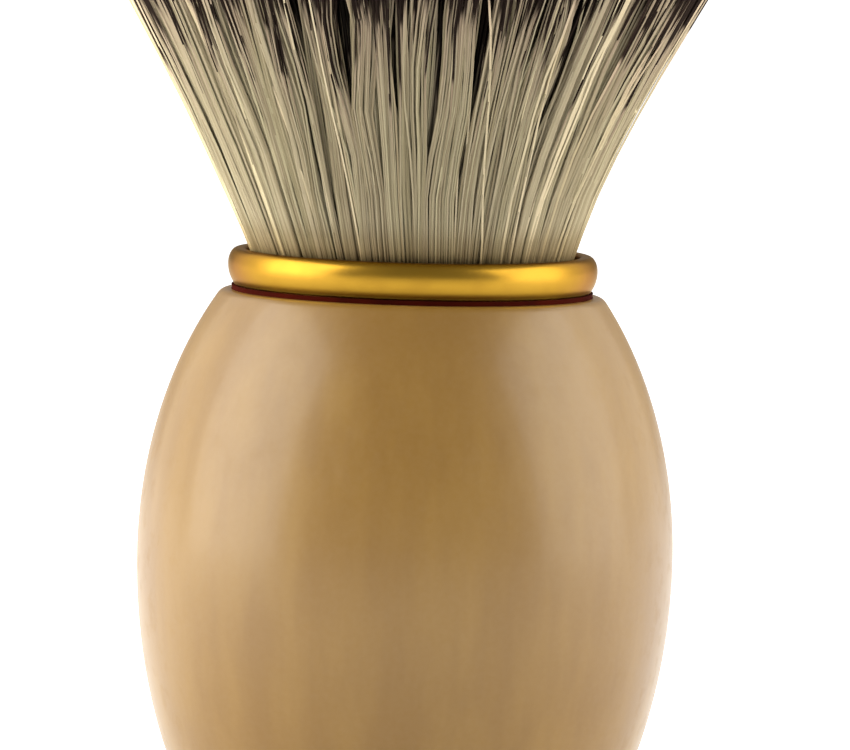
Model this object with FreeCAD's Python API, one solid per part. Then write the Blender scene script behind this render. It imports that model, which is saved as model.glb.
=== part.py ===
import FreeCAD, Part
import math
import os

# Shaving brush that stands on its foot.  Millimetres, +Z up, the axis of the brush on Z
# and the origin at the middle of the face that it stands on.
# Nearly every piece is turned about Z, so it is drawn as a half section in radius and height.

os.makedirs("parts", exist_ok=True)

# ---------------------------------------------------------------- driving dimensions
# Handle, outside
handle_height = 50.0            # standing face to the top of the neck
belly_radius = 17.75            # widest part of the handle
belly_drop = 17.5               # neck top down to the widest part
shoulder_width = 0.4            # how far the neck stands out past the collar
shoulder_round = 0.35
taper_height = 19.0             # where the belly runs into the waist
taper_radius = 15.45
waist_height = 8.8
waist_radius = 12.2
foot_radius = 14.6
foot_rim_height = 2.4
foot_edge_round = 1.1
foot_clearance = 0.5            # the foot rim stays this far above the standing face
taper_pull = 0.45               # pull of the outline's curve as it leaves the belly
waist_pull = 0.30               # above the waist
foot_pull = 0.42                # between waist and foot

# Knot of hair
knot_root_radius = 8.9          # hair bundle inside its binding
mouth_gap = 0.2                 # hair to the bore of the collar where it leaves it
bloom_radius = 25.0             # widest part of the dry knot
bloom_drop = 14.0               # top of the knot down to its widest part
flare_start = 0.47              # pull of the flare's curve at the collar, as a share of its rise
flare_end = 0.40                # and at the widest part
dome_side = 0.6                 # pull of the dome's curve at the widest part
dome_crown = 0.5                # and at its top
loft = 50.0                     # hair showing above the collar

# Binding
cord_diameter = 0.7
cord_turns = 5
cord_clearance = 0.2            # binding to the inside of the cup
binding_drop = 2.4              # cup mouth down to the top of the binding

# Knot cup
cup_wall = 0.9
cup_floor = 1.3
cup_height = 14.5
cup_mouth_chamfer = 0.5
cup_edge_chamfer = 0.6
cup_groove_depth = 0.3
cup_groove_width = 1.0
cup_groove_count = 3
resin_lock_depth = 0.35         # undercut inside the cup that the resin fills
resin_lock_width = 1.2
butt_cover = 1.2                # resin under the butt of the hair
resin_creep = 0.5               # resin drawn up against the hair

# Socket in the handle
glue_film = 0.25                # cup to socket, all round
socket_groove_depth = 0.4
socket_groove_width = 1.2
socket_groove_count = 2
spacer_thickness = 1.5
spacer_gap = 0.35               # spacer to socket wall
spacer_hole_radius = 3.0
spacer_edge_chamfer = 0.2

# Collar
collar_gap = 0.3                # cup to the inside of the collar
spigot_wall = 0.65
spigot_depth = 2.2
spigot_fit = 0.08               # spigot to its counterbore
spigot_end_gap = 0.1
spigot_chamfer = 0.2
bead_overhang = 0.55            # bead past its spigot
bead_height = 2.4
bead_crown_height = 1.0         # widest line of the bead up to its top
bead_crown_width = 0.6
bead_tuck = 0.4                 # how far the bead draws in at its lower edge
bead_mouth_round = 0.25
seal_thickness = 0.3
seal_recess = 0.25              # sealing line back from the bead

# Ballast
ballast_radius = 8.75
ballast_length = 12.0
ballast_chamfer = 0.8
ballast_groove_depth = 0.6
ballast_groove_width = 1.5
ballast_centre_radius = 1.6     # mouth of the lathe centre in its lower end
ballast_film = 0.25

# Base plug and pad
pad_radius = 10.9
pad_thickness = 1.0
pad_edge_chamfer = 0.25
recess_gap = 0.15               # pad and plug flange to the foot recess
flange_thickness = 1.4
plug_spigot_length = 2.2
plug_spigot_wall = 1.2
plug_fit = 0.12                 # plug spigot to the ballast bore
plug_web = 0.9                  # disc left under the hollow of the plug
plug_rib_count = 6
plug_rib_width = 0.8

# Curve handles
ROUND = 0.55                    # handle of a curve that passes for a quarter of an ellipse
HALF_ROUND = 4 / 3              # handle, in radii, of a curve that bulges like a half circle

# ---------------------------------------------------------------- sizes that follow
cup_bore_radius = knot_root_radius + cord_diameter + cord_clearance
cup_radius = cup_bore_radius + cup_wall
socket_radius = cup_radius + glue_film
collar_bore_radius = cup_radius + collar_gap
spigot_radius = collar_bore_radius + spigot_wall
counterbore_radius = spigot_radius + spigot_fit
bead_radius = spigot_radius + bead_overhang
neck_radius = bead_radius + shoulder_width
mouth_radius = collar_bore_radius - mouth_gap

neck_top = handle_height
belly_height = neck_top - belly_drop
counterbore_floor = neck_top - spigot_depth
cup_top = neck_top
cup_bottom = cup_top - cup_height
cup_floor_top = cup_bottom + cup_floor
spacer_top = cup_bottom - glue_film
socket_floor = spacer_top - spacer_thickness

seal_top = neck_top + seal_thickness
spigot_bottom = counterbore_floor + spigot_end_gap
bead_top = seal_top + bead_height
bead_widest = bead_top - bead_crown_height

hair_butt = cup_floor_top + butt_cover
binding_top = cup_top - binding_drop
binding_bottom = binding_top - cord_turns * cord_diameter
resin_top = binding_bottom - resin_creep
hair_top = bead_top + loft
bloom_height = hair_top - bloom_drop

recess_radius = pad_radius + recess_gap
flange_bottom = pad_thickness
flange_top = flange_bottom + flange_thickness
plug_top = flange_top + plug_spigot_length
ballast_bore_radius = ballast_radius + ballast_film
ballast_top = plug_top + ballast_length
ballast_bore_top = ballast_top + ballast_film


# ---------------------------------------------------------------- drawing helpers
class Outline:
    """Half section of a turned piece, drawn edge by edge and then spun about Z."""

    def __init__(self, radius, height):
        self.first = FreeCAD.Vector(radius, 0, height)
        self.pen = self.first
        self.edges = []

    def line(self, radius, height):
        """Straight edge to a point."""
        end = FreeCAD.Vector(radius, 0, height)
        self.edges.append(Part.LineSegment(self.pen, end).toShape())
        self.pen = end
        return self

    def curve(self, *poles):
        """Bezier edge; the last pole is where it ends."""
        points = [self.pen] + [FreeCAD.Vector(radius, 0, height) for radius, height in poles]
        bezier = Part.BezierCurve()
        bezier.setPoles(points)
        self.edges.append(bezier.toShape())
        self.pen = points[-1]
        return self

    def oval(self, centre_height, wide, tall, radius, height):
        """Part of an upright ellipse centred on the axis; it ends at a point on it."""
        centre = FreeCAD.Vector(0, 0, centre_height)
        ellipse = Part.Ellipse(
            centre + FreeCAD.Vector(0, 0, tall),
            centre + FreeCAD.Vector(wide, 0, 0),
            centre,
        )
        end = FreeCAD.Vector(radius, 0, height)
        bounds = sorted([ellipse.parameter(self.pen), ellipse.parameter(end)])
        if bounds[1] - bounds[0] > math.pi:
            bounds = [bounds[1], bounds[0] + 2 * math.pi]
        self.edges.append(Part.ArcOfEllipse(ellipse, bounds[0], bounds[1]).toShape())
        self.pen = end
        return self

    def turned(self):
        """Close the outline and spin it into a solid."""
        if self.pen.distanceToPoint(self.first) > 1e-6:
            self.line(self.first.x, self.first.z)
        face = Part.Face(Part.Wire(self.edges))
        return face.revolve(FreeCAD.Vector(0, 0, 0), FreeCAD.Vector(0, 0, 1), 360)


def disc(radius, bottom, top):
    """Plain cylinder on the axis between two heights."""
    return Part.makeCylinder(radius, top - bottom, FreeCAD.Vector(0, 0, bottom))


def groove_heights(bottom, top, count):
    """Middles of grooves that share a wall evenly."""
    return [bottom + (top - bottom) * (number + 1) / (count + 1) for number in range(count)]


def groove_ring(inner, outer, middle, width):
    """Ring of square section, to cut a groove with or to fill one."""
    bottom = middle - width / 2
    top = middle + width / 2
    return disc(outer, bottom, top).cut(disc(inner, bottom - 1, top + 1))


def oval_height_to(edge_radius, rise):
    """Half height of the belly's ellipse that narrows to edge_radius after rise."""
    return rise / math.sqrt(1 - (edge_radius / belly_radius) ** 2)


# ---------------------------------------------------------------- handle
def handle_outside():
    """Solid handle with its belly, waist and foot, before it is bored."""
    upper_oval = oval_height_to(neck_radius, belly_drop)
    taper_drop = belly_height - taper_height
    lower_oval = oval_height_to(taper_radius, taper_drop)
    taper_slope = (belly_radius / lower_oval) ** 2 * taper_drop / taper_radius
    taper_run = taper_pull * (taper_height - waist_height)
    waist_run = waist_pull * (taper_height - waist_height)
    foot_run = foot_pull * (waist_height - foot_rim_height)
    outline = Outline(0, foot_clearance)
    outline.line(foot_radius - foot_edge_round, foot_clearance)
    outline.curve(
        (foot_radius, foot_clearance),
        (foot_radius, foot_clearance + foot_edge_round),
    )
    outline.line(foot_radius, foot_rim_height)
    outline.curve(
        (foot_radius, foot_rim_height + foot_run),
        (waist_radius, waist_height - foot_run),
        (waist_radius, waist_height),
    )
    outline.curve(
        (waist_radius, waist_height + waist_run),
        (taper_radius - taper_slope * taper_run, taper_height - taper_run),
        (taper_radius, taper_height),
    )
    outline.oval(belly_height, belly_radius, lower_oval, belly_radius, belly_height)
    outline.oval(belly_height, belly_radius, upper_oval, neck_radius, neck_top)
    outline.line(0, neck_top)
    return outline.turned()


def socket_void():
    """Everything bored out of the handle's top: socket, glue grooves and counterbore."""
    void = disc(socket_radius, socket_floor, neck_top)
    for middle in groove_heights(cup_bottom, counterbore_floor, socket_groove_count):
        reach = socket_radius + socket_groove_depth
        void = void.fuse(groove_ring(cup_bore_radius, reach, middle, socket_groove_width))
    return void.fuse(disc(counterbore_radius, counterbore_floor, neck_top))


def edges_at(shape, height, radius):
    """Round edges of a shape at one height and radius."""
    found = []
    for edge in shape.Edges:
        box = edge.BoundBox
        level = abs(box.ZMin - height) < 1e-4 and abs(box.ZMax - height) < 1e-4
        if level and abs(box.XMax - radius) < 1e-4:
            found.append(edge)
    return found


def handle_body():
    """Moulded handle, bored from above for the knot and from below for the ballast."""
    outside = handle_outside()
    outside = outside.makeFillet(shoulder_round, edges_at(outside, neck_top, neck_radius))
    base_void = disc(ballast_bore_radius, 0, ballast_bore_top)
    base_void = base_void.fuse(disc(recess_radius, 0, flange_top))
    return outside.cut(socket_void()).cut(base_void)


# ---------------------------------------------------------------- collar
def collar_ring():
    """Metal bead with a spigot that centres it in the neck."""
    half_lower = (bead_widest - seal_top) / 2
    outline = Outline(collar_bore_radius, spigot_bottom)
    outline.line(spigot_radius - spigot_chamfer, spigot_bottom)
    outline.line(spigot_radius, spigot_bottom + spigot_chamfer)
    outline.line(spigot_radius, seal_top)
    outline.line(bead_radius - bead_tuck, seal_top)
    outline.curve((bead_radius, seal_top + half_lower), (bead_radius, bead_widest))
    outline.curve(
        (bead_radius, bead_widest + ROUND * bead_crown_height),
        (bead_radius - (1 - ROUND) * bead_crown_width, bead_top),
        (bead_radius - bead_crown_width, bead_top),
    )
    outline.line(collar_bore_radius + bead_mouth_round, bead_top)
    outline.curve(
        (collar_bore_radius, bead_top),
        (collar_bore_radius, bead_top - bead_mouth_round),
    )
    return outline.turned()


def collar_seal():
    """Thin line of sealing compound between the bead and the neck."""
    outer = disc(bead_radius - seal_recess, neck_top, seal_top)
    return outer.cut(disc(counterbore_radius, neck_top - 1, seal_top + 1))


# ---------------------------------------------------------------- knot
def cup_envelope():
    """Outside of the cup, solid, with its glue grooves."""
    outline = Outline(0, cup_bottom)
    outline.line(cup_radius - cup_edge_chamfer, cup_bottom)
    outline.line(cup_radius, cup_bottom + cup_edge_chamfer)
    outline.line(cup_radius, cup_top)
    outline.line(0, cup_top)
    envelope = outline.turned()
    for middle in groove_heights(cup_bottom, counterbore_floor, cup_groove_count):
        inner = cup_radius - cup_groove_depth
        envelope = envelope.cut(
            groove_ring(inner, cup_radius + 1, middle, cup_groove_width)
        )
    return envelope


def cup_hollow():
    """Inside of the cup: its bore, the resin undercut and the flared mouth."""
    chamfer_start = cup_top - cup_mouth_chamfer
    outline = Outline(0, cup_floor_top)
    outline.line(cup_bore_radius, cup_floor_top)
    outline.line(cup_bore_radius, chamfer_start)
    outline.line(cup_bore_radius + cup_mouth_chamfer, cup_top)
    outline.line(0, cup_top)
    lock_middle = (cup_floor_top + resin_top) / 2
    lock_radius = cup_bore_radius + resin_lock_depth
    lock = groove_ring(knot_root_radius, lock_radius, lock_middle, resin_lock_width)
    return outline.turned().fuse(lock)


def knot_cup():
    """Moulded cup that the hair is set in."""
    return cup_envelope().cut(cup_hollow())


def hair_bundle():
    """Outer form of the dry hair, from its butt in the cup to the domed tips."""
    mouth_slope = (mouth_radius - knot_root_radius) / (bead_top - binding_top)
    first_run = flare_start * (bloom_height - bead_top)
    last_run = flare_end * (bloom_height - bead_top)
    outline = Outline(0, hair_butt)
    outline.line(knot_root_radius, hair_butt)
    outline.line(knot_root_radius, binding_top)
    outline.line(mouth_radius, bead_top)
    outline.curve(
        (mouth_radius + mouth_slope * first_run, bead_top + first_run),
        (bloom_radius, bloom_height - last_run),
        (bloom_radius, bloom_height),
    )
    outline.curve(
        (bloom_radius, bloom_height + dome_side * bloom_drop),
        (dome_crown * bloom_radius, hair_top),
        (0, hair_top),
    )
    return outline.turned()


def binding_cord():
    """Cord wound hard round the hair; its turns touch, so they are one ribbed sleeve."""
    cord_radius = cord_diameter / 2
    middle_radius = knot_root_radius + cord_radius
    bulge = middle_radius + HALF_ROUND * cord_radius
    outline = Outline(knot_root_radius, binding_bottom)
    outline.line(middle_radius, binding_bottom)
    for turn in range(cord_turns):
        low = binding_bottom + turn * cord_diameter
        high = low + cord_diameter
        outline.curve((bulge, low), (bulge, high), (middle_radius, high))
    outline.line(knot_root_radius, binding_top)
    return outline.turned()


def knot_resin_plug():
    """Cast resin that fills the cup round the butt of the hair."""
    fill = Outline(0, cup_floor_top)
    fill.line(cup_bore_radius, cup_floor_top)
    fill.line(cup_bore_radius, resin_top)
    fill.line(knot_root_radius, resin_top + resin_creep)
    fill.line(0, resin_top + resin_creep)
    lock_middle = (cup_floor_top + resin_top) / 2
    lock_radius = cup_bore_radius + resin_lock_depth
    lock = groove_ring(knot_root_radius, lock_radius, lock_middle, resin_lock_width)
    return fill.turned().fuse(lock).cut(hair_bundle())


def knot_bedding():
    """Adhesive between the cup, the socket wall and the spacer."""
    slice_of_socket = disc(socket_radius + socket_groove_depth, spacer_top, counterbore_floor)
    return socket_void().common(slice_of_socket).cut(cup_envelope())


def loft_spacer():
    """Washer under the knot that sets how far the hair stands out."""
    radius = socket_radius - spacer_gap
    outline = Outline(spacer_hole_radius, socket_floor)
    outline.line(radius - spacer_edge_chamfer, socket_floor)
    outline.line(radius, socket_floor + spacer_edge_chamfer)
    outline.line(radius, spacer_top - spacer_edge_chamfer)
    outline.line(radius - spacer_edge_chamfer, spacer_top)
    outline.line(spacer_hole_radius, spacer_top)
    return outline.turned()


# ---------------------------------------------------------------- base
def ballast_weight():
    """Turned weight with a glue groove and a lathe centre in its lower end."""
    outline = Outline(0, plug_top + ballast_centre_radius)
    outline.line(ballast_centre_radius, plug_top)
    outline.line(ballast_radius - ballast_chamfer, plug_top)
    outline.line(ballast_radius, plug_top + ballast_chamfer)
    outline.line(ballast_radius, ballast_top - ballast_chamfer)
    outline.line(ballast_radius - ballast_chamfer, ballast_top)
    outline.line(0, ballast_top)
    weight = outline.turned()
    middle = (plug_top + ballast_top) / 2
    inner = ballast_radius - ballast_groove_depth
    return weight.cut(groove_ring(inner, ballast_radius + 1, middle, ballast_groove_width))


def ballast_bedding():
    """Adhesive that fills the bore round and above the ballast."""
    bore = disc(ballast_bore_radius, plug_top, ballast_bore_top)
    centre = disc(ballast_centre_radius, plug_top, plug_top + ballast_centre_radius)
    return bore.cut(ballast_weight()).cut(centre)


def base_plug():
    """Moulded plug that closes the ballast bore: flange, hollow spigot and ribs."""
    spigot_outer = ballast_bore_radius - plug_fit
    spigot_inner = spigot_outer - plug_spigot_wall
    hollow_floor = flange_bottom + plug_web
    plug = disc(recess_radius - recess_gap, flange_bottom, flange_top)
    plug = plug.fuse(disc(spigot_outer, flange_top, plug_top))
    plug = plug.cut(disc(spigot_inner, hollow_floor, plug_top))
    for number in range(plug_rib_count):
        rib = Part.makeBox(
            spigot_inner + plug_spigot_wall / 2,
            plug_rib_width,
            plug_top - hollow_floor,
            FreeCAD.Vector(0, -plug_rib_width / 2, hollow_floor),
        )
        rib.rotate(
            FreeCAD.Vector(0, 0, 0), FreeCAD.Vector(0, 0, 1), number * 360 / plug_rib_count
        )
        plug = plug.fuse(rib)
    return plug.removeSplitter()


def base_pad():
    """Soft disc that the brush stands on."""
    outline = Outline(0, 0)
    outline.line(pad_radius - pad_edge_chamfer, 0)
    outline.line(pad_radius, pad_edge_chamfer)
    outline.line(pad_radius, pad_thickness)
    outline.line(0, pad_thickness)
    return outline.turned()


# ---------------------------------------------------------------- write the pieces
PIECES = {
    "handle_body": handle_body,
    "collar_ring": collar_ring,
    "collar_seal": collar_seal,
    "knot_cup": knot_cup,
    "hair_bundle": hair_bundle,
    "binding_cord": binding_cord,
    "knot_resin_plug": knot_resin_plug,
    "knot_bedding": knot_bedding,
    "loft_spacer": loft_spacer,
    "ballast_weight": ballast_weight,
    "ballast_bedding": ballast_bedding,
    "base_plug": base_plug,
    "base_pad": base_pad,
}

for name, make in PIECES.items():
    shape = make()
    if len(shape.Solids) != 1:
        raise ValueError(f"{name} came out as {len(shape.Solids)} solids")
    shape = shape.Solids[0]
    shape.exportStep(f"parts/{name}.step")
    box = shape.BoundBox
    volume = shape.Volume / 1000
    print(f"{name:16s} {volume:7.3f} cm3, {box.ZMin:6.2f} to {box.ZMax:6.2f} mm high")
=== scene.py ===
"""Shaving brush: a knot of banded hair in a gold collar on a honey resin handle.

The turned pieces are drawn again here as smooth outlines at the sizes of the fixed frame,
and the knot is built hair by hair inside the outer form that the frame gives it.
Outlines are in millimetres and meshes in metres; the axis of the brush is Z.
"""

import logging
import math
from collections.abc import Mapping, Sequence
from dataclasses import dataclass, field
from enum import Enum

import bmesh
import bpy
import numpy as np
from mathutils import Matrix, Vector


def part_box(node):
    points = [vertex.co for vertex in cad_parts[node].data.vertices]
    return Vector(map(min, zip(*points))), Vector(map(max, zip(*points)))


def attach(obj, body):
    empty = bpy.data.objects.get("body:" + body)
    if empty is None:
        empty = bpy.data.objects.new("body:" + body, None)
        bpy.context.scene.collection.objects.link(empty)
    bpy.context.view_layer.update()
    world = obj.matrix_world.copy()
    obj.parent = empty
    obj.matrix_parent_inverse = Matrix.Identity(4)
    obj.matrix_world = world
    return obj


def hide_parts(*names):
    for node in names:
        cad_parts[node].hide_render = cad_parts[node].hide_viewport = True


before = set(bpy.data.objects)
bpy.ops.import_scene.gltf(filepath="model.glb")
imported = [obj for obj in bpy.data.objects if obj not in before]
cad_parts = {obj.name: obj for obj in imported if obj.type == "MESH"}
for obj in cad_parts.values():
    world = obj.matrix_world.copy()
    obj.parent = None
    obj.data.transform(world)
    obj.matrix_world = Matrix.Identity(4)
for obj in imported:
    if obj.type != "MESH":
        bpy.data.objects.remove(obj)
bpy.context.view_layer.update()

MM = 0.001
BODY = "root"
HAIR_MAP = "OFBake"
LOG = logging.getLogger("shaving_brush")

Point = tuple[float, float]
Colour = tuple[float, float, float]


# ---------------------------------------------------------------- shader building
class Signal:
    """A shader socket that adds Math nodes when it is used in arithmetic."""

    def __init__(self, shader: "Shader", socket: bpy.types.NodeSocket) -> None:
        """Wrap one output socket of a shader."""
        self.shader = shader
        self.socket = socket

    def math(self, operation: str, *values: "Signal | float") -> "Signal":
        """Run a Math node on this value.

        Args:
            operation: the Math node's operation.
            values: what follows this value on the node's other sockets.

        Returns:
            The node's result.
        """
        inputs = dict(enumerate((self, *values)))
        return self.shader.node("ShaderNodeMath", {"operation": operation}, inputs)

    def also(self, output: str) -> "Signal":
        """Another output of the node that this value comes from."""
        return Signal(self.shader, self.socket.node.outputs[output])

    def __add__(self, other: "Signal | float") -> "Signal":
        """Sum."""
        return self.math("ADD", other)

    __radd__ = __add__

    def __sub__(self, other: "Signal | float") -> "Signal":
        """Difference."""
        return self.math("SUBTRACT", other)

    def __rsub__(self, other: float) -> "Signal":
        """A number less this value."""
        inputs = {0: other, 1: self}
        return self.shader.node("ShaderNodeMath", {"operation": "SUBTRACT"}, inputs)

    def __mul__(self, other: "Signal | float") -> "Signal":
        """Product."""
        return self.math("MULTIPLY", other)

    __rmul__ = __mul__

    def __truediv__(self, other: "Signal | float") -> "Signal":
        """Quotient."""
        return self.math("DIVIDE", other)

    def clamp(self) -> "Signal":
        """This value held between 0 and 1."""
        return self.math("MAXIMUM", 0.0).math("MINIMUM", 1.0)

    def step(self, edge: "Signal | float") -> "Signal":
        """1 where this value is above the edge, and 0 elsewhere."""
        return self.math("GREATER_THAN", edge)

    def ease(self, low: "Signal | float", high: "Signal | float") -> "Signal":
        """Smooth rise from 0 at low to 1 at high."""
        share = ((self - low) / (high - low)).clamp()
        return share * share * (3.0 - 2.0 * share)


Input = Signal | float | Sequence[float]


class Shader:
    """Node tree of one material."""

    def __init__(self, name: str) -> None:
        """Start an empty tree.

        Args:
            name: the material's name.
        """
        self.material = bpy.data.materials.new(name)
        self.material.use_nodes = True
        self.tree = self.material.node_tree
        self.tree.nodes.clear()

    def node(
        self,
        kind: str,
        settings: Mapping[str, object] | None = None,
        inputs: Mapping[str | int, Input] | None = None,
        output: str | int = 0,
    ) -> Signal:
        """Add a node.

        Args:
            kind: the node's type.
            settings: properties that are set first.
            inputs: a value or a link for each named or numbered socket.
            output: the output that is wanted.

        Returns:
            That output.
        """
        node = self.tree.nodes.new(kind)
        for key, value in (settings or {}).items():
            setattr(node, key, value)
        for key, value in (inputs or {}).items():
            if isinstance(value, Signal):
                self.tree.links.new(value.socket, node.inputs[key])
            else:
                node.inputs[key].default_value = value
        return Signal(self, node.outputs[output])

    def place(self) -> Signal:
        """Place on the object, in millimetres."""
        inputs = {
            0: self.node("ShaderNodeTexCoord", output="Object"),
            "Scale": 1.0 / MM,
        }
        return self.node("ShaderNodeVectorMath", {"operation": "SCALE"}, inputs)

    def stretch(self, vector: Signal, scale: Sequence[float]) -> Signal:
        """A vector times a scale for each axis."""
        inputs = {0: vector, 1: scale}
        return self.node("ShaderNodeVectorMath", {"operation": "MULTIPLY"}, inputs)

    def noise(self, vector: Signal, scale: float, detail: float = 2.0) -> Signal:
        """Soft noise from 0 to 1 at a place in millimetres; scale is in cells per mm."""
        inputs = {"Vector": vector, "Scale": scale, "Detail": detail, "Roughness": 0.55}
        return self.node("ShaderNodeTexNoise", {}, inputs, "Fac")

    def chance(self, number: Signal, salt: float) -> Signal:
        """Repeatable random value from 0 to 1 for a number; salt tells draws apart."""
        inputs = {"W": number + salt}
        return self.node(
            "ShaderNodeTexWhiteNoise", {"noise_dimensions": "1D"}, inputs, "Value"
        )

    def mix(self, share: Input, first: Input, second: Input, how: str = "MIX") -> Signal:
        """Mix two colours.

        Args:
            share: how much of the second colour.
            first: colour at share 0.
            second: colour at share 1.
            how: the Mix node's blend type.

        Returns:
            The mixed colour.
        """
        inputs = {0: share, 6: paint(first), 7: paint(second)}
        settings = {"data_type": "RGBA", "blend_type": how}
        return self.node("ShaderNodeMix", settings, inputs, 2)

    def grey(self, value: Signal) -> Signal:
        """A colour with the same value in all three channels."""
        return self.node("ShaderNodeCombineXYZ", {}, {0: value, 1: value, 2: value})

    def bump(self, height: Signal, depth: float) -> Signal:
        """Normal of a surface whose relief is height times depth in millimetres."""
        inputs = {"Strength": 1.0, "Distance": depth * MM, "Height": height}
        return self.node("ShaderNodeBump", {}, inputs)

    def surface(self, **values: Input) -> bpy.types.Material:
        """Finish the tree with a Principled surface.

        Args:
            values: the surface's sockets, with _ for each space in a name.

        Returns:
            The material.
        """
        inputs = {
            key.replace("_", " "): paint(value) if "Color" in key or "Tint" in key else value
            for key, value in values.items()
        }
        surface = self.node("ShaderNodeBsdfPrincipled", {}, inputs)
        self.node_to_output(surface)
        return self.material

    def node_to_output(self, surface: Signal) -> None:
        """Link a surface to the material's output."""
        output = self.tree.nodes.new("ShaderNodeOutputMaterial")
        self.tree.links.new(surface.socket, output.inputs["Surface"])


def paint(value: Input) -> Input:
    """Give a plain colour its alpha.

    Args:
        value: a colour, a number or a link.

    Returns:
        The colour with its alpha; a link or a number is passed on.
    """
    if isinstance(value, Signal | float | int) or len(value) == 4:
        return value
    return (*value, 1.0)


# ---------------------------------------------------------------- finishes
class HairKind(Enum):
    """Kinds of hair, by where their columns start on the hair's map."""

    SURFACE = 0.0
    UNDER = 0.5
    GUARD = 0.875

    @property
    def start(self) -> float:
        """Where this kind's columns start."""
        return self.value

    @property
    def end(self) -> float:
        """Where this kind's columns end."""
        later = [kind.value for kind in HairKind if kind.value > self.value]
        return min(later, default=1.0)

    @property
    def width(self) -> float:
        """Share of the map that this kind's columns take up."""
        return self.end - self.start


@dataclass(frozen=True)
class ResinFinish:
    """Polished cast resin with faint upright streaks, as in imitation horn."""

    name: str = "honey_resin"
    light: Colour = (0.238, 0.129, 0.019)
    dark: Colour = (0.190, 0.095, 0.010)
    roughness: float = 0.38
    coat: float = 0.15
    coat_roughness: float = 0.15
    gloss: float = 0.47

    def make(self) -> bpy.types.Material:
        """Build the material."""
        shader = Shader(self.name)
        place = shader.place()
        streaks = shader.noise(shader.stretch(place, (1.0, 1.0, 0.16)), 0.32, 3.0)
        clouds = shader.noise(place, 0.055, 2.0)
        share = (0.55 * streaks + 0.6 * clouds).ease(0.40, 0.76)
        fine = shader.noise(place, 2.4, 3.0)
        base = shader.mix(share, self.dark, self.light)
        base = shader.mix(0.02 * fine, base, (1.0, 0.93, 0.80))
        worn = shader.noise(place, 0.7, 4.0).ease(0.50, 0.72)
        swell = shader.noise(place, 0.11, 1.0)
        relief = shader.bump(swell + 0.004 * fine, 0.05)
        return shader.surface(
            Base_Color=base,
            Roughness=self.roughness + 0.07 * worn,
            Coat_Weight=self.coat,
            Coat_Roughness=self.coat_roughness,
            Specular_IOR_Level=self.gloss,
            Normal=relief,
        )


@dataclass(frozen=True)
class AnodisedFinish:
    """Gold anodised metal with the fine rings that turning leaves."""

    name: str = "gold_anodised"
    gold: Colour = (0.335, 0.185, 0.010)
    deep: Colour = (0.290, 0.150, 0.007)
    edge: Colour = (0.44, 0.31, 0.11)
    roughness: float = 0.29
    coat: float = 0.26
    coat_roughness: float = 0.35
    line_height: float = 0.08

    def make(self) -> bpy.types.Material:
        """Build the material."""
        shader = Shader(self.name)
        place = shader.place()
        rings = shader.noise(shader.stretch(place, (0.02, 0.02, 1.0)), 1 / self.line_height)
        dull = shader.noise(place, 0.6, 1.0).ease(0.40, 0.75)
        base = shader.mix(0.35 * dull + 0.15 * rings, self.gold, self.deep)
        return shader.surface(
            Base_Color=base,
            Metallic=1.0,
            Roughness=self.roughness + 0.05 * dull + 0.04 * rings,
            Specular_Tint=self.edge,
            Coat_Weight=self.coat,
            Coat_Roughness=self.coat_roughness,
            Normal=shader.bump(shader.noise(place, 0.5, 1.0), 0.01),
        )


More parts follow.
